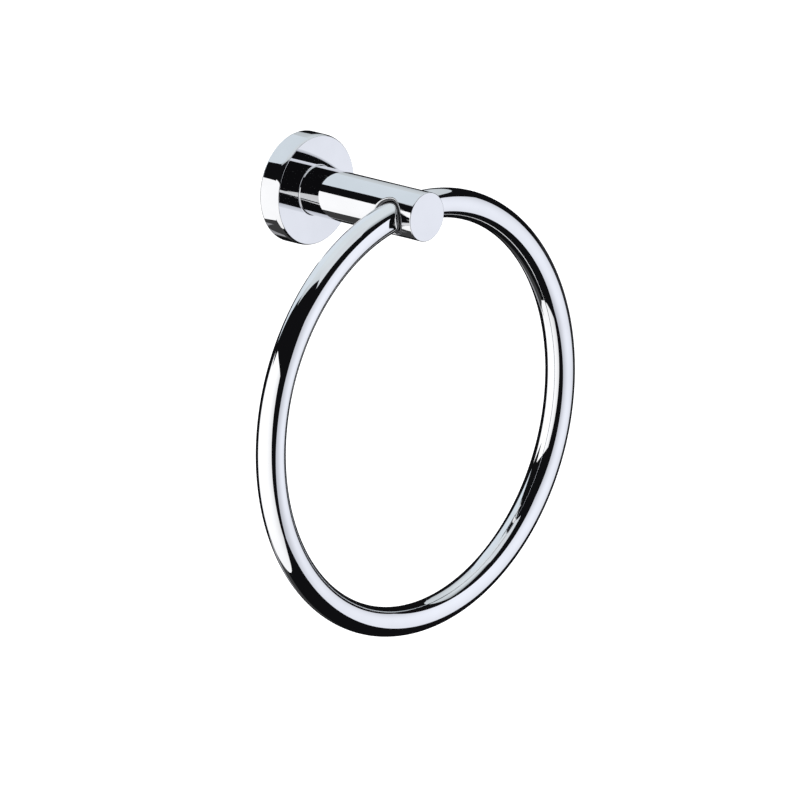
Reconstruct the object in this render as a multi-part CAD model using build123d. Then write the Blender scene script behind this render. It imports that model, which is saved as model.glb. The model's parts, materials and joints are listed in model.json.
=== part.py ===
from build123d import *
import os
from math import asin, degrees

# Towel ring: a flange over a hidden wall bracket, a round post, and a ring that swings in the post.
# Millimetres. The wall is the plane Y = 0, the part stands out of it along -Y, and +Z is up.

# Flange
flange_diameter = 45.0
flange_depth = 10.0
flange_front_wall = 2.5
flange_rim_wall = 3.0
flange_front_radius = 0.7
flange_back_bevel = 0.8

# Post
post_diameter = 20.0
projection = 70.0  # wall to the post's end face
post_end_radius = 0.4
post_foot_flare = 0.5  # widening where the post stands on the flange
spigot_diameter = 9.0
spigot_flats = 8.0
spigot_length = 2.0

# Ring and its bearing in the post
ring_diameter = 182.0  # over the outside of the tube
tube_diameter = 12.0
tube_wall = 1.0
swing_axis_from_end = 12.5
ring_rise = 0.25  # the tube's middle above the swing axis, which centres its bend in the straight bushes
socket_web = 4.0  # metal left between the two blind sockets
ring_end_gap = 0.5  # ring's cut end to the web
bush_wall = 0.65
bush_recess = 0.9  # bush end below the post's surface
mouth_bevel = 0.9

# Wall bracket
bracket_floor = 3.0
bracket_rim_wall = 3.5
bracket_hole_diameter = 13.0
wall_screw_spacing = 22.0
wall_slot_width = 4.5
wall_slot_length = 7.0
groove_depth = 1.2
groove_width = 2.4
groove_from_wall = 4.5

# Screws and washer
post_screw_diameter = 6.0
post_screw_length = 12.0
post_screw_head_diameter = 10.5
post_screw_head_height = 3.3
post_screw_key = 4.0  # across the flats of the hexagon socket
post_screw_key_depth = 1.9
post_thread_depth = 13.0
washer_diameter = 12.0
washer_thickness = 1.6
washer_hole_diameter = 6.4
grub_diameter = 4.0
grub_key = 2.0
grub_key_depth = 1.4
grub_recess = 0.4  # grub screw's outer end below the flange's rim
grub_point_diameter = 1.6

# Clearances
thread_clearance = 0.05
spigot_clearance = 0.05
bush_clearance = 0.05
swing_clearance = 0.45
bracket_rim_clearance = 0.5
bracket_front_clearance = 0.5
grub_clearance = 0.05

# Sizes worked out from those above
flange_radius = flange_diameter / 2
flange_bore = flange_radius - flange_rim_wall
cavity_depth = flange_depth - flange_front_wall
post_radius = post_diameter / 2
swing_axis = projection - swing_axis_from_end
tube_radius = tube_diameter / 2
ring_radius = ring_diameter / 2 - tube_radius
bush_bore = tube_radius + swing_clearance
bush_radius = bush_bore + bush_wall
socket_radius = bush_radius + bush_clearance
bracket_radius = flange_bore - bracket_rim_clearance
bracket_height = cavity_depth - bracket_front_clearance
spigot_end = flange_depth - spigot_length
washer_face = cavity_depth - washer_thickness
upwards = (Align.CENTER, Align.CENTER, Align.MIN)
downwards = (Align.CENTER, Align.CENTER, Align.MAX)


def turned(profile):
    # A solid turned about the post's axis, from corners given as (radius, distance from the wall)
    corners = [(radius, -distance) for radius, distance in profile]
    return revolve(make_face(Polyline(*corners, close=True)), axis=Axis.Y)


def at_wall(distance):
    # A plane parallel to the wall, facing the room
    return Plane.XZ.offset(distance)


def spigot_outline(clearance):
    # A round spigot with two flats, which keeps the post from turning in the flange
    circle = Circle(spigot_diameter / 2 + clearance)
    return circle & Rectangle(spigot_flats + 2 * clearance, spigot_diameter + 4 * clearance)


def across_post(radius, start, length, side):
    # A cylinder on the swing axis, from a distance off the post's middle plane towards one side
    middle = side * (start + length / 2)
    return Pos(middle, -swing_axis, 0) * Rot(0, 90, 0) * Cylinder(radius, length)


def hexagon(across_flats):
    return RegularPolygon(across_flats / 2, 6, major_radius=False)


def largest_circles(solid):
    return solid.edges().filter_by(GeomType.CIRCLE).group_by(SortBy.RADIUS)[-1].sort_by(Axis.Y)


def make_flange():
    cup = turned([
        (flange_bore, 0),
        (flange_radius, 0),
        (flange_radius, flange_depth),
        (0, flange_depth),
        (0, cavity_depth),
        (flange_bore, cavity_depth),
    ])
    cup = fillet(largest_circles(cup)[0], flange_front_radius)
    cup = chamfer(largest_circles(cup)[-1], flange_back_bevel)
    cup -= extrude(at_wall(cavity_depth) * spigot_outline(spigot_clearance), flange_front_wall)
    grub_hole = Cylinder(grub_diameter / 2 + thread_clearance, flange_radius, align=downwards)
    return cup - Pos(0, -groove_from_wall, -bracket_radius) * grub_hole


def make_post():
    bar = turned([
        (0, flange_depth),
        (post_radius + post_foot_flare, flange_depth),
        (post_radius, flange_depth + post_foot_flare),
        (post_radius, projection),
        (0, projection),
    ])
    end_edge = bar.edges().filter_by(GeomType.CIRCLE).sort_by(Axis.Y)[0]
    bar = fillet(end_edge, post_end_radius)
    bar += extrude(at_wall(spigot_end) * spigot_outline(0), spigot_length)
    bar -= extrude(at_wall(spigot_end) * Circle(post_screw_diameter / 2), post_thread_depth)
    for side in (-1, 1):
        bar -= across_post(socket_radius, socket_web / 2, post_radius, side)
    round_or_straight = (GeomType.CIRCLE, GeomType.LINE)
    mouths = bar.edges().filter_by(lambda edge: edge.geom_type not in round_or_straight)
    mouths = mouths.filter_by(lambda edge: abs(edge.center().X) > socket_web)
    return chamfer(mouths, mouth_bevel)


def make_bush(side):
    sleeve = across_post(bush_radius, socket_web / 2, post_radius, side)
    sleeve -= across_post(bush_bore, socket_web / 2, post_radius, side)
    envelope = turned([
        (0, flange_depth),
        (post_radius - bush_recess, flange_depth),
        (post_radius - bush_recess, projection),
        (0, projection),
    ])
    return sleeve & envelope


def make_ring():
    middle = Axis((0, 0, ring_rise - ring_radius), (0, 1, 0))
    section = Circle(tube_radius) - Circle(tube_radius - tube_wall)
    half_gap = degrees(asin((socket_web / 2 + ring_end_gap) / ring_radius))
    first_end = (Plane.YZ * Pos(-swing_axis, ring_rise) * section).rotate(middle, half_gap)
    return revolve(first_end, axis=middle, revolution_arc=360 - 2 * half_gap)


def make_wall_bracket():
    dish = turned([
        (bracket_hole_diameter / 2, 0),
        (bracket_radius, 0),
        (bracket_radius, groove_from_wall - groove_width / 2),
        (bracket_radius - groove_depth, groove_from_wall),
        (bracket_radius, groove_from_wall + groove_width / 2),
        (bracket_radius, bracket_height),
        (bracket_radius - bracket_rim_wall, bracket_height),
        (bracket_radius - bracket_rim_wall, bracket_floor),
        (bracket_hole_diameter / 2, bracket_floor),
    ])
    for side in (-1, 1):
        slot = Pos(side * wall_screw_spacing / 2, 0) * SlotOverall(wall_slot_length, wall_slot_width)
        dish -= extrude(at_wall(0) * slot, bracket_floor)
    return dish


def make_post_screw():
    head_top = washer_face - post_screw_head_height
    screw = turned([
        (0, head_top),
        (post_screw_head_diameter / 2, head_top),
        (post_screw_head_diameter / 2, washer_face),
        (post_screw_diameter / 2 - thread_clearance, washer_face),
        (post_screw_diameter / 2 - thread_clearance, washer_face + post_screw_length),
        (0, washer_face + post_screw_length),
    ])
    crown = largest_circles(screw)[-1]
    screw = fillet(crown, post_screw_head_height / 2)
    return screw - extrude(at_wall(head_top) * hexagon(post_screw_key), post_screw_key_depth)


def make_post_washer():
    return turned([
        (washer_hole_diameter / 2, washer_face),
        (washer_diameter / 2, washer_face),
        (washer_diameter / 2, cavity_depth),
        (washer_hole_diameter / 2, cavity_depth),
    ])


def make_grub_screw():
    # Set radially in the flange's rim, with its cone point in the bracket's groove
    foot = flange_radius - grub_recess
    flank_slope = groove_depth / (groove_width / 2)
    cone_height = (grub_diameter - grub_point_diameter) / 2 * flank_slope
    point_depth = groove_depth - grub_point_diameter / 2 * flank_slope
    point = bracket_radius - point_depth + grub_clearance
    shank_length = foot - point - cone_height
    shank = Cylinder(grub_diameter / 2, shank_length, align=upwards)
    cone = Cone(grub_diameter / 2, grub_point_diameter / 2, cone_height, align=upwards)
    screw = shank + Pos(0, 0, shank_length) * cone - extrude(hexagon(grub_key), grub_key_depth)
    return Pos(0, -groove_from_wall, -foot) * screw


pieces = {
    "flange": make_flange(),
    "post": make_post(),
    "ring": make_ring(),
    "ring_bush_left": make_bush(-1),
    "ring_bush_right": make_bush(1),
    "wall_bracket": make_wall_bracket(),
    "post_screw": make_post_screw(),
    "post_washer": make_post_washer(),
    "flange_grub_screw": make_grub_screw(),
}

os.makedirs("parts", exist_ok=True)
for name, piece in pieces.items():
    export_step(piece, f"parts/{name}.step")
    print(name, "volume", round(piece.volume, 1))
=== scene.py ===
import json
import math
import bmesh
import bpy
from mathutils import Matrix, Vector


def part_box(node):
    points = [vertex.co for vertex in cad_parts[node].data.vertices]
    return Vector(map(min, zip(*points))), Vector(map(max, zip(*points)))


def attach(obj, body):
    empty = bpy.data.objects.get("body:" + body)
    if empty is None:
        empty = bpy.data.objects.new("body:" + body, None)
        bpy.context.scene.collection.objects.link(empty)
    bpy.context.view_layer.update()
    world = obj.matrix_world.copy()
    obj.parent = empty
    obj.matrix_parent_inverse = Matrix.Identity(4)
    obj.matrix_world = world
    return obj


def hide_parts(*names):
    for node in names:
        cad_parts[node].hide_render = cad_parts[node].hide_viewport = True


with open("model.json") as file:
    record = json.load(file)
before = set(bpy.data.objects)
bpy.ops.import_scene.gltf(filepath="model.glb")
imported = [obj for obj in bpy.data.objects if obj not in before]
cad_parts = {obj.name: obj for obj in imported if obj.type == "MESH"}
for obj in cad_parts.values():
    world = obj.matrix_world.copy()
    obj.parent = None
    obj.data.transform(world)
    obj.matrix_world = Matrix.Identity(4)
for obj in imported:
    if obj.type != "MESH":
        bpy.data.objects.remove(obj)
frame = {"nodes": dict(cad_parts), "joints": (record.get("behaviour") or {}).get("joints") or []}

# Towel ring: a flange on a hidden wall bracket, a post square out of it, and a ring that swings in it.
# Metres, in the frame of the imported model: the wall is Y = 0, the part stands out along -Y, +Z is up.

mm = 0.001
samePlace = 0.01 * mm  # corners nearer than this to a ring of edges lie on it
mergeDistance = 0.001 * mm
smoothAngle = math.radians(30)  # edges that turn further stay sharp
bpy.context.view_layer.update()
print("frame loaded with", len(frame["nodes"]), "nodes")

# Sizes that several pieces share, all but the flare read from the frame
flangeLow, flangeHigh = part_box("flange")
postLow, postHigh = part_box("post")
ringLow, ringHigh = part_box("ring")
bushLow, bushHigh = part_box("ring_bush_right")
flangeRadius, flangeDepth = flangeHigh.x, -flangeLow.y
footFlare = 0.5 * mm  # how much wider the post is where it stands on the flange
postRadius, postEnd, spigotEnd = postHigh.x - footFlare, -postLow.y, -postHigh.y
tubeRadius = (ringHigh.y - ringLow.y) / 2
ringRadius = (ringHigh.x - ringLow.x) / 2 - tubeRadius
swingAxis = Vector(frame["joints"][0]["pos_m"])
ringMiddle = Vector((0, swingAxis.y, ringLow.z + ringRadius + tubeRadius))
bushRadius, socketFloor, bushRecess = bushHigh.z, bushLow.x, postRadius - bushHigh.x


# Tools for shaping a piece

def pickEdges(piece, isWanted):
    bpy.ops.object.mode_set(mode="EDIT")
    bpy.ops.mesh.select_mode(type="EDGE")
    bpy.ops.mesh.select_all(action="DESELECT")
    bpy.ops.object.mode_set(mode="OBJECT")
    corners = piece.data.vertices
    for edge in piece.data.edges:
        edge.select = all(isWanted(corners[end].co) for end in edge.vertices)
    bpy.ops.object.mode_set(mode="EDIT")


def roundRing(piece, radius, distance, width, steps):
    # Rounds the sharp ring of edges at a radius and a distance from the wall
    def onRing(corner):
        return (abs(math.hypot(corner.x, corner.z) - radius) < samePlace
                and abs(corner.y + distance) < samePlace)
    pickEdges(piece, onRing)
    bpy.ops.mesh.bevel(offset_type="OFFSET", offset=width, segments=steps, profile=0.5, affect="EDGES")
    bpy.ops.object.mode_set(mode="OBJECT")


def closeMesh(piece, fillEnds):
    bpy.ops.mesh.select_mode(type="VERT")
    bpy.ops.mesh.select_all(action="SELECT")
    bpy.ops.mesh.remove_doubles(threshold=mergeDistance)
    if fillEnds:
        bpy.ops.mesh.fill_holes(sides=0)
        bpy.ops.mesh.select_all(action="SELECT")
    bpy.ops.mesh.normals_make_consistent(inside=False)
    bpy.ops.object.mode_set(mode="OBJECT")


def turnPiece(name, outline, segments, closed):
    # Turns corners of (radius, distance from the wall) about the Y axis, one loop of edges for each
    bpy.ops.object.select_all(action="DESELECT")
    radius, distance = outline[0]
    bpy.ops.mesh.primitive_circle_add(
        vertices=segments, radius=radius, location=(0, -distance, 0), rotation=(math.pi / 2, 0, 0))
    piece = bpy.context.object
    piece.name = name
    bpy.ops.object.transform_apply(location=True, rotation=True, scale=True)
    bpy.ops.object.mode_set(mode="EDIT")
    bpy.ops.mesh.select_all(action="SELECT")
    for nextRadius, nextDistance in outline[1:] + (outline[:1] if closed else []):
        bpy.ops.mesh.extrude_region_move(
            TRANSFORM_OT_translate={"value": (0, distance - nextDistance, 0)})
        grow = nextRadius / radius
        bpy.ops.transform.resize(value=(grow, 1, grow), center_override=(0, -nextDistance, 0))
        radius, distance = nextRadius, nextDistance
    closeMesh(piece, not closed)
    return piece


def cutAway(piece, cutter):
    bpy.ops.object.select_all(action="DESELECT")
    piece.select_set(True)
    bpy.context.view_layer.objects.active = piece
    cut = piece.modifiers.new("cut", "BOOLEAN")
    cut.operation = "DIFFERENCE"
    cut.solver = "EXACT"
    cut.object = cutter
    bpy.ops.object.modifier_apply(modifier=cut.name)
    bpy.data.objects.remove(cutter)


def startAcross(name, radius, start, segments):
    # A circle round the swing axis, ready for the loops of a socket or a bush
    bpy.ops.object.select_all(action="DESELECT")
    bpy.ops.mesh.primitive_circle_add(
        vertices=segments, radius=radius, location=(start, swingAxis.y, 0), rotation=(0, math.pi / 2, 0))
    piece = bpy.context.object
    piece.name = name
    bpy.ops.object.transform_apply(location=True, rotation=True, scale=True)
    bpy.ops.object.mode_set(mode="EDIT")
    bpy.ops.mesh.select_all(action="SELECT")
    return piece


def addLoop(piece, radius, placeAcross):
    # Extrudes the selected loop to a radius, as far across as placeAcross says for each height
    bpy.ops.mesh.extrude_region_move()
    shape = bmesh.from_edit_mesh(piece.data)
    for corner in shape.verts:
        if corner.select:
            angle = math.atan2(corner.co.z, corner.co.y - swingAxis.y)
            height = radius * math.sin(angle)
            corner.co = (placeAcross(height), swingAxis.y + radius * math.cos(angle), height)
    bmesh.update_edit_mesh(piece.data)


def finishPiece(piece, node, body, material):
    bpy.ops.object.select_all(action="DESELECT")
    piece.select_set(True)
    bpy.context.view_layer.objects.active = piece
    bpy.ops.object.shade_smooth_by_angle(angle=smoothAngle)
    even = piece.modifiers.new("evenShading", "WEIGHTED_NORMAL")
    even.keep_sharp = True
    bpy.ops.object.modifier_apply(modifier=even.name)
    piece.data.materials.clear()
    piece.data.materials.append(material)
    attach(piece, body)
    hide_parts(node)
    print("made", piece.name, "with", len(piece.data.polygons), "faces")


# Materials, where a noise is given by its scale and detail, and a bump by its depth and strength
noiseLow, noiseHigh = 0.3, 0.7  # most of a noise lies between these


def newMaterial(name):
    material = bpy.data.materials.new(name)
    material.use_nodes = True
    tree = material.node_tree
    return material, tree, tree.nodes["Principled BSDF"]


def addNoise(tree, scale, detail, stretch=(1, 1, 1)):
    place = tree.nodes.new("ShaderNodeTexCoord")
    turn = tree.nodes.new("ShaderNodeMapping")
    turn.inputs["Scale"].default_value = stretch
    noise = tree.nodes.new("ShaderNodeTexNoise")
    noise.inputs["Scale"].default_value = scale
    noise.inputs["Detail"].default_value = detail
    tree.links.new(place.outputs["Object"], turn.inputs["Vector"])
    tree.links.new(turn.outputs["Vector"], noise.inputs["Vector"])
    return noise.outputs["Fac"]


def spread(tree, factor, low, high):
    # Maps a noise factor to a range
    reach = tree.nodes.new("ShaderNodeMapRange")
    reach.inputs["From Min"].default_value = noiseLow
    reach.inputs["From Max"].default_value = noiseHigh
    reach.inputs["To Min"].default_value = low
    reach.inputs["To Max"].default_value = high
    tree.links.new(factor, reach.inputs["Value"])
    return reach.outputs["Result"]


def tint(tree, factor, first, second):
    ramp = tree.nodes.new("ShaderNodeValToRGB")
    ramp.color_ramp.elements[0].position = noiseLow
    ramp.color_ramp.elements[0].color = (*first, 1)
    ramp.color_ramp.elements[1].position = noiseHigh
    ramp.color_ramp.elements[1].color = (*second, 1)
    tree.links.new(factor, ramp.inputs["Fac"])
    return ramp.outputs["Color"]


def bumpFrom(tree, factor, depth, strength):
    bump = tree.nodes.new("ShaderNodeBump")
    bump.inputs["Distance"].default_value = depth
    bump.inputs["Strength"].default_value = strength
    tree.links.new(factor, bump.inputs["Height"])
    return bump.outputs["Normal"]


# The bent tube takes a slightly brighter polish than the turned flange and post
chromeColours = {
    "turnedChrome": {"bright": (0.77, 0.775, 0.785), "dull": (0.73, 0.735, 0.745)},
    "tubeChrome": {"bright": (0.825, 0.83, 0.84), "dull": (0.78, 0.785, 0.795)},
}
chromePolish = {"cloud": (60, 3), "haze": (900, 2), "roughness": (0.012, 0.03)}
nylonLook = {
    "light": (0.16, 0.16, 0.165), "dark": (0.11, 0.11, 0.115), "roughness": (0.32, 0.5),
    "mottle": (700, 4), "grain": (4000, 2), "bump": (0.02 * mm, 0.4),
}
zincLook = {
    "blue": (0.60, 0.62, 0.65), "warm": (0.655, 0.655, 0.645), "roughness": (0.36, 0.44),
    "metallic": 0.55,  # a passivated coat is part matt
    "patch": (420, 6), "grain": (2500, 3), "bump": (0.02 * mm, 0.35),
}
stainlessLook = {
    "light": (0.70, 0.69, 0.67), "dark": (0.56, 0.55, 0.53), "roughness": (0.2, 0.36),
    "toolMarks": (500, 3), "stretch": (1, 1, 12), "bump": (0.01 * mm, 0.3),
}


def polishedChrome(name, colours, polish):
    material, tree, shader = newMaterial(name)
    shader.inputs["Metallic"].default_value = 1
    cloud = addNoise(tree, *polish["cloud"])
    tree.links.new(tint(tree, cloud, colours["dull"], colours["bright"]), shader.inputs["Base Color"])
    haze = addNoise(tree, *polish["haze"])
    tree.links.new(spread(tree, haze, *polish["roughness"]), shader.inputs["Roughness"])
    return material


def greyNylon(look):
    material, tree, shader = newMaterial("greyNylon")
    mottle = addNoise(tree, *look["mottle"])
    tree.links.new(tint(tree, mottle, look["dark"], look["light"]), shader.inputs["Base Color"])
    tree.links.new(spread(tree, mottle, *look["roughness"]), shader.inputs["Roughness"])
    grain = addNoise(tree, *look["grain"])
    tree.links.new(bumpFrom(tree, grain, *look["bump"]), shader.inputs["Normal"])
    return material


def zincPlatedSteel(look):
    material, tree, shader = newMaterial("zincPlatedSteel")
    shader.inputs["Metallic"].default_value = look["metallic"]
    patch = addNoise(tree, *look["patch"])
    tree.links.new(tint(tree, patch, look["blue"], look["warm"]), shader.inputs["Base Color"])
    tree.links.new(spread(tree, patch, *look["roughness"]), shader.inputs["Roughness"])
    grain = addNoise(tree, *look["grain"])
    tree.links.new(bumpFrom(tree, grain, *look["bump"]), shader.inputs["Normal"])
    return material


def stainlessSteel(look):
    material, tree, shader = newMaterial("stainlessSteel")
    shader.inputs["Metallic"].default_value = 1
    toolMarks = addNoise(tree, *look["toolMarks"], look["stretch"])
    tree.links.new(tint(tree, toolMarks, look["dark"], look["light"]), shader.inputs["Base Color"])
    tree.links.new(spread(tree, toolMarks, *look["roughness"]), shader.inputs["Roughness"])
    tree.links.new(bumpFrom(tree, toolMarks, *look["bump"]), shader.inputs["Normal"])
    return material


turnedChrome, tubeChrome = (
    polishedChrome(name, colours, chromePolish) for name, colours in chromeColours.items())
nylon = greyNylon(nylonLook)
zinc = zincPlatedSteel(zincLook)
stainless = stainlessSteel(stainlessLook)
print("materials made")

# Flange: a turned cup with a rolled front edge, a keyed hole for the post and a grub screw hole below
flangeShape = {
    "segments": 320,
    "rimWall": 3.0 * mm,
    "frontWall": 2.5 * mm,
    "keyHoleRadius": 4.55 * mm,
    "keyHoleFlats": 4.05 * mm,
    "edgeAlong": 2.6 * mm,  # the polished front edge rolls off over this length of the rim
    "edgeDrop": 0.7 * mm,
    "edgeSteps": 14,
    "backBevel": 0.8 * mm,
    "backSteps": 5,
    "innerBevel": 0.2 * mm,
    "innerSteps": 2,
    "grubHoleRadius": 2.05 * mm,
    "grubHoleSegments": 64,
    "grubFromWall": 4.5 * mm,
    "drillSpare": 4.0 * mm,  # how much longer the drill is than the rim is thick
}


def rolledEdge(along, drop, steps):
    # A quarter of an ellipse from the rim to the front face, with even turns between its points
    corners = []
    for step in range(steps + 1):
        lean = math.pi / 2 * step / steps
        turn = math.atan2(along * math.sin(lean), drop * math.cos(lean))
        radius = flangeRadius - drop * (1 - math.cos(turn))
        corners.append((radius, flangeDepth - along * (1 - math.sin(turn))))
    return corners


def makeFlange(shape):
    bore = flangeRadius - shape["rimWall"]
    cavity = flangeDepth - shape["frontWall"]
    flange = turnPiece("chromeFlange", [
        (bore, 0),
        (flangeRadius, 0),
        *rolledEdge(shape["edgeAlong"], shape["edgeDrop"], shape["edgeSteps"]),
        (shape["keyHoleRadius"], flangeDepth),
        (shape["keyHoleRadius"], cavity),
        (bore, cavity),
    ], shape["segments"], True)
    roundRing(flange, flangeRadius, 0, shape["backBevel"], shape["backSteps"])
    roundRing(flange, bore, 0, shape["innerBevel"], shape["innerSteps"])
    for corner in flange.data.vertices:  # two flats in the keyed hole
        if math.hypot(corner.co.x, corner.co.z) < shape["keyHoleRadius"] + samePlace:
            corner.co.x = max(-shape["keyHoleFlats"], min(shape["keyHoleFlats"], corner.co.x))
    bpy.ops.object.select_all(action="DESELECT")
    bpy.ops.mesh.primitive_cylinder_add(
        vertices=shape["grubHoleSegments"], radius=shape["grubHoleRadius"],
        depth=flangeRadius - bore + shape["drillSpare"],
        location=(0, -shape["grubFromWall"], -(flangeRadius + bore) / 2))
    cutAway(flange, bpy.context.object)
    return flange


finishPiece(makeFlange(flangeShape), "flange", "wall_fixing", turnedChrome)

# Post: a turned bar with a keyed spigot, a blind thread and two blind sockets with rounded mouths
postShape = {
    "segments": 384,
    "endRound": 0.4 * mm,
    "endSteps": 5,
    "footSteps": 6,
    "spigotRadius": 4.5 * mm,
    "spigotFlats": 4.0 * mm,
    "threadRadius": 3.0 * mm,
    "threadDepth": 13.0 * mm,
    "socketClearance": 0.05 * mm,
    "mouthRound": 1.0 * mm,
    "mouthTurn": 80,  # degrees that the rounding turns through
    "mouthSteps": 8,
    "mouthSegments": 160,
    "mouthProud": 0.01 * mm,  # the cutter's rounding ends this far out of the post's surface
    "cutterReach": 1.2,  # the cutter's outer end, in post radii
}


def postSurface(radius, depth=0):
    # Distance across to a surface round the post's axis, at a height, less a depth below it
    return lambda height: math.sqrt(radius ** 2 - height ** 2) - depth


def mirrored(placeAcross, side):
    return lambda height: side * placeAcross(height)


def makeSocketCutter(shape, side):
    radius = bushRadius + shape["socketClearance"]
    cutter = startAcross("socketCutter", radius, side * socketFloor, shape["mouthSegments"])
    rounding = shape["mouthRound"]
    lastTurn = math.radians(shape["mouthTurn"])
    for step in range(shape["mouthSteps"] + 1):
        turn = lastTurn * step / shape["mouthSteps"]
        depth = rounding * (math.sin(lastTurn) - math.sin(turn)) - shape["mouthProud"]
        flare = rounding * (1 - math.cos(turn))
        addLoop(cutter, radius + flare, mirrored(postSurface(postRadius, depth), side))
    addLoop(cutter, radius + flare, lambda height: side * postRadius * shape["cutterReach"])
    closeMesh(cutter, True)
    return cutter


def footCove(cove, steps):
    # A hollow quarter circle where the post runs out on the flange's face
    corners = []
    for step in range(steps + 1):
        turn = math.pi / 2 * step / steps
        radius = postRadius + cove * (1 - math.sin(turn))
        corners.append((radius, flangeDepth + cove * (1 - math.cos(turn))))
    return corners


def makePost(shape):
    post = turnPiece("chromePost", [
        (shape["threadRadius"], spigotEnd + shape["threadDepth"]),
        (shape["threadRadius"], spigotEnd),
        (shape["spigotRadius"], spigotEnd),
        (shape["spigotRadius"], flangeDepth),
        *footCove(footFlare, shape["footSteps"]),
        (postRadius, postEnd),
    ], shape["segments"], False)
    roundRing(post, postRadius, postEnd, shape["endRound"], shape["endSteps"])
    for corner in post.data.vertices:  # two flats on the spigot
        if abs(math.hypot(corner.co.x, corner.co.z) - shape["spigotRadius"]) < samePlace:
            corner.co.x = max(-shape["spigotFlats"], min(shape["spigotFlats"], corner.co.x))
    for side in (-1, 1):
        cutAway(post, makeSocketCutter(shape, side))
    return post


finishPiece(makePost(postShape), "post", "wall_fixing", turnedChrome)

# Ring: one tube bent round, with its two cut ends in the post's sockets
ringShape = {"around": 72, "along": 360, "wall": 1.0 * mm, "endGap": 0.5 * mm}


def makeRing(shape):
    halfGap = math.asin((socketFloor + shape["endGap"]) / ringRadius)
    start = ringMiddle + ringRadius * Vector((math.sin(halfGap), 0, math.cos(halfGap)))
    bpy.ops.object.select_all(action="DESELECT")
    bpy.ops.mesh.primitive_circle_add(
        vertices=shape["around"], radius=tubeRadius, location=start,
        rotation=(0, math.pi / 2 + halfGap, 0))
    ring = bpy.context.object
    ring.name = "chromeRing"
    bpy.ops.object.transform_apply(location=True, rotation=True, scale=True)
    bpy.ops.object.mode_set(mode="EDIT")
    bpy.ops.mesh.select_all(action="SELECT")
    bpy.ops.mesh.spin(
        steps=shape["along"], angle=math.tau - 2 * halfGap, center=ringMiddle, axis=(0, 1, 0))
    closeMesh(ring, False)
    wall = ring.modifiers.new("wall", "SOLIDIFY")
    wall.thickness = shape["wall"]
    wall.offset = -1
    bpy.ops.object.modifier_apply(modifier=wall.name)
    return ring


finishPiece(makeRing(ringShape), "ring", "swinging_ring", tubeChrome)

# Bushes: plain sleeves, cut to the post's roundness a little below its surface
bushShape = {"segments": 128, "wall": 0.65 * mm, "endRound": 0.12 * mm}


def makeBush(shape, name, side):
    bore = bushRadius - shape["wall"]
    bush = startAcross(name, bore, side * socketFloor, shape["segments"])
    outerEnd = mirrored(postSurface(postRadius - bushRecess), side)
    softEnd = mirrored(postSurface(postRadius - bushRecess, shape["endRound"]), side)
    addLoop(bush, bushRadius, lambda height: side * socketFloor)
    addLoop(bush, bushRadius, softEnd)
    addLoop(bush, bushRadius - shape["endRound"], outerEnd)
    addLoop(bush, bore + shape["endRound"], outerEnd)
    addLoop(bush, bore, softEnd)
    addLoop(bush, bore, lambda height: side * socketFloor)
    closeMesh(bush, False)
    return bush


for bushNode, bushName, bushSide in (
        ("ring_bush_left", "nylonBushLeft", -1), ("ring_bush_right", "nylonBushRight", 1)):
    finishPiece(makeBush(bushShape, bushName, bushSide), bushNode, "wall_fixing", nylon)

# Wall bracket: a turned dish with a groove round it for the grub screw, and slots for the wall screws
bracketLow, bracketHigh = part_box("wall_bracket")
bracketShape = {
    "segments": 192,
    "radius": bracketHigh.x,
    "height": -bracketLow.y,
    "floor": 3.0 * mm,
    "rimWall": 3.5 * mm,
    "holeRadius": 6.5 * mm,
    "grooveFromWall": 4.5 * mm,
    "grooveHalf": 1.2 * mm,
    "grooveDepth": 1.2 * mm,
    "slotFromMiddle": 11.0 * mm,
    "slotRadius": 2.25 * mm,
    "slotHalfStraight": 1.25 * mm,
    "slotSegments": 64,
    "edgeRound": 0.4 * mm,
    "edgeSteps": 3,
}


def makeSlotCutter(shape, side):
    radius, soft = shape["slotRadius"], shape["edgeRound"]
    cutter = turnPiece("slotCutter", [
        (radius + 2 * soft, -soft),
        (radius, soft),
        (radius, shape["floor"] + soft),
    ], shape["slotSegments"], False)
    for corner in cutter.data.vertices:
        half = 1 if corner.co.x > mergeDistance else -1
        corner.co.x += half * shape["slotHalfStraight"] + side * shape["slotFromMiddle"]
    return cutter


def makeBracket(shape):
    inner = shape["radius"] - shape["rimWall"]
    bracket = turnPiece("zincBracket", [
        (shape["holeRadius"], 0),
        (shape["radius"], 0),
        (shape["radius"], shape["grooveFromWall"] - shape["grooveHalf"]),
        (shape["radius"] - shape["grooveDepth"], shape["grooveFromWall"]),
        (shape["radius"], shape["grooveFromWall"] + shape["grooveHalf"]),
        (shape["radius"], shape["height"]),
        (inner, shape["height"]),
        (inner, shape["floor"]),
        (shape["holeRadius"], shape["floor"]),
    ], shape["segments"], True)
    backEdges = [(shape["holeRadius"], 0), (shape["radius"], 0)]
    frontEdges = [(shape["radius"], shape["height"]), (inner, shape["height"])]
    for radius, distance in backEdges + frontEdges:
        roundRing(bracket, radius, distance, shape["edgeRound"], shape["edgeSteps"])
    for side in (-1, 1):
        cutAway(bracket, makeSlotCutter(shape, side))
    return bracket


finishPiece(makeBracket(bracketShape), "wall_bracket", "wall_fixing", zinc)

# Post screw: a domed head with a hexagon socket, and a plain shank that stands for its thread
screwLow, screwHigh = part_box("post_screw")
screwShape = {
    "segments": 96,
    "headRadius": screwHigh.x,
    "headTop": -screwHigh.y,
    "headHeight": 3.3 * mm,
    "crown": 1.65 * mm,
    "crownSteps": 8,
    "shankRadius": 2.95 * mm,
    "shankEnd": -screwLow.y,
    "pointBevel": 0.5 * mm,
    "keyHalf": 2.0 * mm,  # half the size across the socket's flats
    "keyDepth": 1.9 * mm,
}


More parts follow.
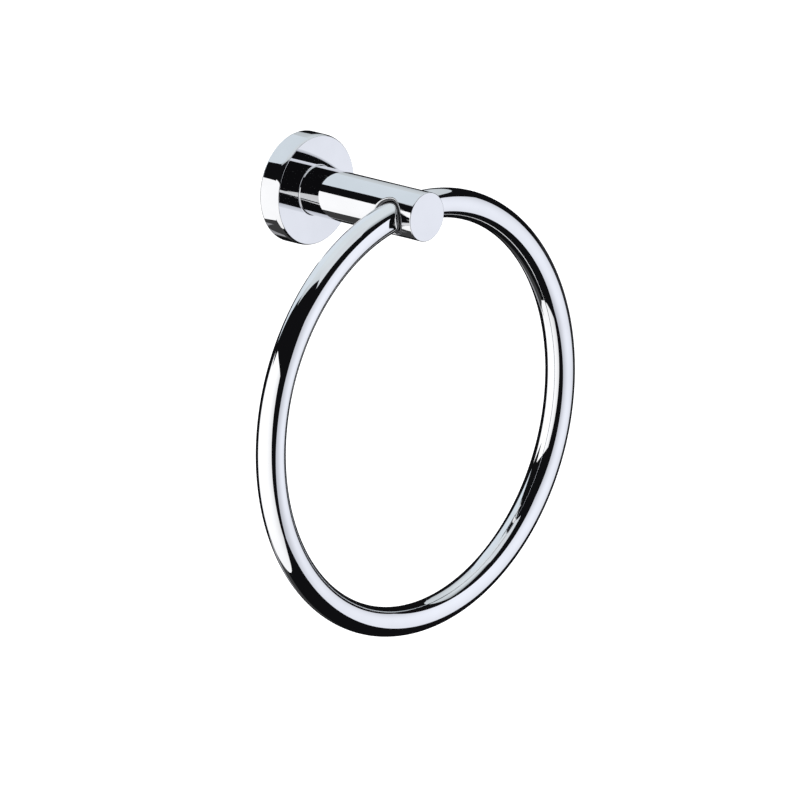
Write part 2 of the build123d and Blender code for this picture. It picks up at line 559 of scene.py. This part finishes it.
def makePostScrew(shape):
    crown = []
    for step in range(shape["crownSteps"] + 1):
        turn = math.pi / 2 * step / shape["crownSteps"]
        crown.append((shape["headRadius"] - shape["crown"] * (1 - math.cos(turn)),
                      shape["headTop"] + shape["crown"] * (1 - math.sin(turn))))
    headFoot = shape["headTop"] + shape["headHeight"]
    screw = turnPiece("zincPostScrew", [
        (shape["shankRadius"] - shape["pointBevel"], shape["shankEnd"]),
        (shape["shankRadius"], shape["shankEnd"] - shape["pointBevel"]),
        (shape["shankRadius"], headFoot),
        (shape["headRadius"], headFoot),
        *crown,
    ], shape["segments"], False)
    bpy.ops.object.select_all(action="DESELECT")
    bpy.ops.mesh.primitive_cylinder_add(
        vertices=6, radius=shape["keyHalf"] / math.cos(math.pi / 6), depth=2 * shape["keyDepth"],
        location=(0, -shape["headTop"], 0), rotation=(math.pi / 2, 0, 0))
    cutAway(screw, bpy.context.object)
    return screw


finishPiece(makePostScrew(screwShape), "post_screw", "wall_fixing", zinc)

# The washer and the grub screw keep their solids, with finishes of their own
hiddenFinishes = {
    "post_washer": zinc,
    "flange_grub_screw": stainless,
}
for nodeName, finish in hiddenFinishes.items():
    for finishSlot in frame["nodes"][nodeName].material_slots:
        finishSlot.material = finish
print("hidden fittings finished")

# Camera at the photograph's viewing angle
aimPoint = Vector((0, -0.040, -0.060))  # near the part's middle, for the camera, the cards and the lamps
cameraView = {
    "azimuth": -46.195,  # degrees, 0 looks along +Y
    "elevation": 19.572,
    "roll": -3.598,
    "distance": 8.0,
    "focalPixels": 20092.4,  # focal length in pixels of an image of this width
    "imageWidth": 800,
    "sensor": 36.0,  # millimetres
    "slideRight": 0.007741,
    "slideUp": -0.021584,
    "clipEnd": 100,
}


def makeCamera(look):
    azimuth, elevation, roll = (math.radians(look[key]) for key in ("azimuth", "elevation", "roll"))
    back = Vector((math.sin(azimuth) * math.cos(elevation),
                   -math.cos(azimuth) * math.cos(elevation),
                   math.sin(elevation)))
    levelRight = (-back).cross(Vector((0, 0, 1))).normalized()
    levelUp = levelRight.cross(-back)
    right = math.cos(roll) * levelRight + math.sin(roll) * levelUp
    up = -math.sin(roll) * levelRight + math.cos(roll) * levelUp
    target = aimPoint + right * look["slideRight"] + up * look["slideUp"]
    turned = Matrix((right, up, back)).transposed().to_4x4()
    bpy.ops.object.camera_add()
    camera = bpy.context.object
    camera.name = "photoCamera"
    camera.matrix_world = Matrix.Translation(target + back * look["distance"]) @ turned
    camera.data.sensor_width = look["sensor"]
    camera.data.lens = look["focalPixels"] * look["sensor"] / look["imageWidth"]
    camera.data.clip_end = look["clipEnd"]
    bpy.context.scene.camera = camera


makeCamera(cameraView)
print("camera set")

# Studio: cards in a dark tent, seen by reflections alone. A card stands at a longitude and a latitude
# round the aim point, in degrees, and is rolled, tilted and turned there. Each drawnIn moves a corner
# inwards by a share of the width, and each fade is the loss at an edge and how far in it reaches,
# where 2 is the whole card.
studioCards = {
    "leftSoftbox": {
        "lon": -87.4, "lat": -12, "distance": 0.288, "width": 0.563, "height": 0.555,
        "roll": 1.9, "tilt": -6, "turn": -14.4,
        "colour": (1.29, 1.29, 1.30), "fade": {"right": (0.22, 1.1), "low": (0.1, 1.0)}},
    "leftWing": {
        "lon": -138, "lat": -22.5, "distance": 3.17, "width": 2.1, "height": 4.5, "tilt": 22.5,
        "drawnIn": {"lowLeft": 0.08}, "colour": (1.27, 1.27, 1.28)},
    "rightSoftbox": {
        "lon": 43.5, "lat": -9, "distance": 0.505, "width": 1.14, "height": 0.775,
        "roll": 4, "tilt": -3, "turn": -19, "drawnIn": {"lowRight": 0.35, "highRight": -0.03},
        "colour": (1.06, 1.09, 1.19),
        "fade": {"left": (0.37, 0.8), "right": (0.3, 1.2), "low": (0.1, 1.3)}},
    "ceiling": {
        "lon": 113, "lat": 82, "distance": 0.40, "width": 0.63, "height": 0.68,
        "roll": -28, "tilt": -23, "turn": 20, "drawnIn": {"lowRight": 0.035},
        "colour": (0.82, 0.88, 0.92),
        "fade": {"left": (0.45, 0.6), "right": (0.2, 0.6), "low": (0.17, 0.6), "high": (0.13, 0.6)}},
    "frontCeiling": {
        "lon": -8.6, "lat": 71.5, "distance": 0.442, "width": 0.28, "height": 0.23, "tilt": 18.5,
        "colour": (0.80, 0.84, 0.88)},
    "backLeftPanel": {
        "lon": 176, "lat": 39, "distance": 0.292, "width": 0.255, "height": 0.29,
        "roll": -1, "tilt": 7, "turn": -8, "colour": (0.81, 0.89, 0.96)},
    "backPanel": {
        "lon": 157, "lat": 49, "distance": 0.6, "width": 0.78, "height": 0.39, "roll": 5.5,
        "colour": (0.68, 0.75, 0.84)},
    "lowRightCard": {
        "lon": 106, "lat": -17, "distance": 3.1, "width": 2.4, "height": 1.44,
        "roll": 10, "tilt": -10, "turn": -11, "colour": (0.027, 0.027, 0.031)},
    "lowBackCard": {
        "lon": 178, "lat": -41, "distance": 0.9, "width": 0.45, "height": 0.112,
        "colour": (0.36, 0.36, 0.38)},
    "dimFootCard": {
        "lon": -170, "lat": -51, "distance": 1.6, "width": 1.55, "height": 0.55,
        "colour": (0.055, 0.055, 0.056)},
}


def glowMaterial(name, colour):
    material = bpy.data.materials.new(name)
    material.use_nodes = True
    tree = material.node_tree
    tree.nodes.clear()
    glow = tree.nodes.new("ShaderNodeEmission")
    glow.inputs["Color"].default_value = (*colour, 1)
    output = tree.nodes.new("ShaderNodeOutputMaterial")
    tree.links.new(glow.outputs["Emission"], output.inputs["Surface"])
    return material, tree, glow


def fadeCard(tree, glow, card):
    # A softbox is brightest in its middle, and fades towards the edges that its settings name
    place = tree.nodes.new("ShaderNodeTexCoord")
    split = tree.nodes.new("ShaderNodeSeparateXYZ")
    tree.links.new(place.outputs["UV"], split.inputs["Vector"])
    edges = {"left": ("X", 0), "right": ("X", 1), "low": ("Y", 0), "high": ("Y", 1)}
    level = None
    for edgeName, (loss, reach) in card.get("fade", {}).items():
        axis, edgeAt = edges[edgeName]
        ease = tree.nodes.new("ShaderNodeMapRange")
        ease.interpolation_type = "SMOOTHSTEP"
        ease.inputs["From Min"].default_value = edgeAt
        ease.inputs["From Max"].default_value = abs(edgeAt - reach / 2)
        ease.inputs["To Min"].default_value = 1 - loss
        ease.inputs["To Max"].default_value = 1
        tree.links.new(split.outputs[axis], ease.inputs["Value"])
        if level is None:
            level = ease.outputs["Result"]
        else:
            both = tree.nodes.new("ShaderNodeMath")
            both.operation = "MULTIPLY"
            tree.links.new(level, both.inputs[0])
            tree.links.new(ease.outputs["Result"], both.inputs[1])
            level = both.outputs["Value"]
    if level is not None:
        tree.links.new(level, glow.inputs["Strength"])


def onlyForReflections(thing):
    thing.visible_camera = False
    thing.visible_diffuse = False
    thing.visible_shadow = False


def cardAxes(card):
    # The way out to the card, and its own right, up and facing directions
    lon, lat = math.radians(card["lon"]), math.radians(card["lat"])
    out = Vector((math.sin(lon) * math.cos(lat), -math.cos(lon) * math.cos(lat), math.sin(lat)))
    right = Vector((0, 0, 1)).cross(out).normalized()
    up = out.cross(right)
    roll = math.radians(card.get("roll", 0))
    right, up = (math.cos(roll) * right + math.sin(roll) * up,
                 -math.sin(roll) * right + math.cos(roll) * up)
    tilt, turn = math.radians(card.get("tilt", 0)), math.radians(card.get("turn", 0))
    facing = out * math.cos(tilt) + up * math.sin(tilt)
    up = facing.cross(right)
    facing = facing * math.cos(turn) + right * math.sin(turn)
    right = up.cross(facing)
    return out, right, up, facing


def makeCard(name, card):
    bpy.ops.object.select_all(action="DESELECT")
    bpy.ops.mesh.primitive_plane_add(size=1)
    panel = bpy.context.object
    panel.name = name
    corners = {"lowLeft": (-1, -1), "lowRight": (1, -1), "highLeft": (-1, 1), "highRight": (1, 1)}
    for cornerName, share in card.get("drawnIn", {}).items():
        side, level = corners[cornerName]
        for point in panel.data.vertices:
            if point.co.x * side > 0 and point.co.y * level > 0:
                point.co.x -= side * share
    # The map follows the card's true shape, so that its fades stay straight
    cardMap = panel.data.uv_layers.active.data
    for loop in panel.data.loops:
        corner = panel.data.vertices[loop.vertex_index].co
        cardMap[loop.index].uv = (corner.x + 0.5, corner.y + 0.5)
    out, right, up, facing = cardAxes(card)
    axes = Matrix((right * card["width"], up * card["height"], facing)).transposed().to_4x4()
    panel.matrix_world = Matrix.Translation(aimPoint + out * card["distance"]) @ axes
    bpy.ops.object.transform_apply(location=True, rotation=True, scale=True)
    material, tree, glow = glowMaterial(name, card["colour"])
    fadeCard(tree, glow, card)
    panel.data.materials.append(material)
    onlyForReflections(panel)


for cardName, cardShape in studioCards.items():
    makeCard(cardName, cardShape)

tentShape = {"radius": 8.0, "segments": 48, "rings": 24, "colour": (0.006, 0.006, 0.007)}


def makeTent(shape):
    bpy.ops.object.select_all(action="DESELECT")
    bpy.ops.mesh.primitive_uv_sphere_add(
        segments=shape["segments"], ring_count=shape["rings"], radius=shape["radius"], location=aimPoint)
    tent = bpy.context.object
    tent.name = "darkTent"
    bpy.ops.object.transform_apply(location=True, rotation=True, scale=True)
    tent.data.materials.append(glowMaterial("darkTent", shape["colour"])[0])
    onlyForReflections(tent)


makeTent(tentShape)
print("cards and tent placed")

# Floor and white surroundings
floorLook = {
    "drop": 0.6, "size": 12.0, "colour": (0.86, 0.86, 0.86), "roughness": 0.9,
    "lift": 0.6,  # added for the camera alone, so that the floor runs into the white
}


def makeFloor(look):
    bpy.ops.object.select_all(action="DESELECT")
    bpy.ops.mesh.primitive_plane_add(size=look["size"], location=(0, 0, -look["drop"]))
    floor = bpy.context.object
    floor.name = "paleFloor"
    bpy.ops.object.transform_apply(location=True, rotation=True, scale=True)
    material, tree, shader = newMaterial("paleFloor")
    shader.inputs["Base Color"].default_value = (*look["colour"], 1)
    shader.inputs["Roughness"].default_value = look["roughness"]
    shader.inputs["Specular IOR Level"].default_value = 0
    path = tree.nodes.new("ShaderNodeLightPath")
    lift = tree.nodes.new("ShaderNodeMath")
    lift.operation = "MULTIPLY"
    lift.inputs[1].default_value = look["lift"]
    tree.links.new(path.outputs["Is Camera Ray"], lift.inputs[0])
    shader.inputs["Emission Color"].default_value = (1, 1, 1, 1)
    tree.links.new(lift.outputs["Value"], shader.inputs["Emission Strength"])
    floor.data.materials.append(material)
    floor.visible_glossy = False


makeFloor(floorLook)

surroundings = {"fill": (0.95, 0.97, 1.0), "fillStrength": 0.55}


def makeSurroundings(look):
    world = bpy.data.worlds.new("whiteSurroundings")
    bpy.context.scene.world = world
    world.use_nodes = True
    tree = world.node_tree
    tree.nodes.clear()
    path = tree.nodes.new("ShaderNodeLightPath")
    seen = path.outputs["Is Camera Ray"]
    for kind in ("Is Glossy Ray", "Is Transmission Ray"):
        either = tree.nodes.new("ShaderNodeMath")
        either.operation = "MAXIMUM"
        tree.links.new(seen, either.inputs[0])
        tree.links.new(path.outputs[kind], either.inputs[1])
        seen = either.outputs["Value"]
    fill = tree.nodes.new("ShaderNodeBackground")
    fill.inputs["Color"].default_value = (*look["fill"], 1)
    fill.inputs["Strength"].default_value = look["fillStrength"]
    white = tree.nodes.new("ShaderNodeBackground")
    white.inputs["Color"].default_value = (1, 1, 1, 1)
    white.inputs["Strength"].default_value = 1
    choice = tree.nodes.new("ShaderNodeMixShader")
    output = tree.nodes.new("ShaderNodeOutputWorld")
    tree.links.new(seen, choice.inputs["Fac"])
    tree.links.new(fill.outputs["Background"], choice.inputs[1])
    tree.links.new(white.outputs["Background"], choice.inputs[2])
    tree.links.new(choice.outputs["Shader"], output.inputs["Surface"])


makeSurroundings(surroundings)

lamps = {
    "keyLamp": {"place": (-1.1, -0.9, 0.9), "size": 1.2, "power": 14},
    "fillLamp": {"place": (1.2, -1.3, 0.5), "size": 1.2, "power": 8},
    "backLamp": {"place": (0.6, 1.5, 0.8), "size": 1.2, "power": 10},
}


def makeLamp(name, lamp):
    place = Vector(lamp["place"])
    bpy.ops.object.light_add(type="AREA", location=place)
    light = bpy.context.object
    light.name = name
    light.rotation_euler = (place - aimPoint).to_track_quat("Z", "Y").to_euler()
    light.data.size = lamp["size"]
    light.data.energy = lamp["power"]
    light.visible_camera = False
    light.visible_glossy = False


for lampName, lampShape in lamps.items():
    makeLamp(lampName, lampShape)
bpy.context.scene.view_settings.view_transform = "Standard"
print("studio lit")
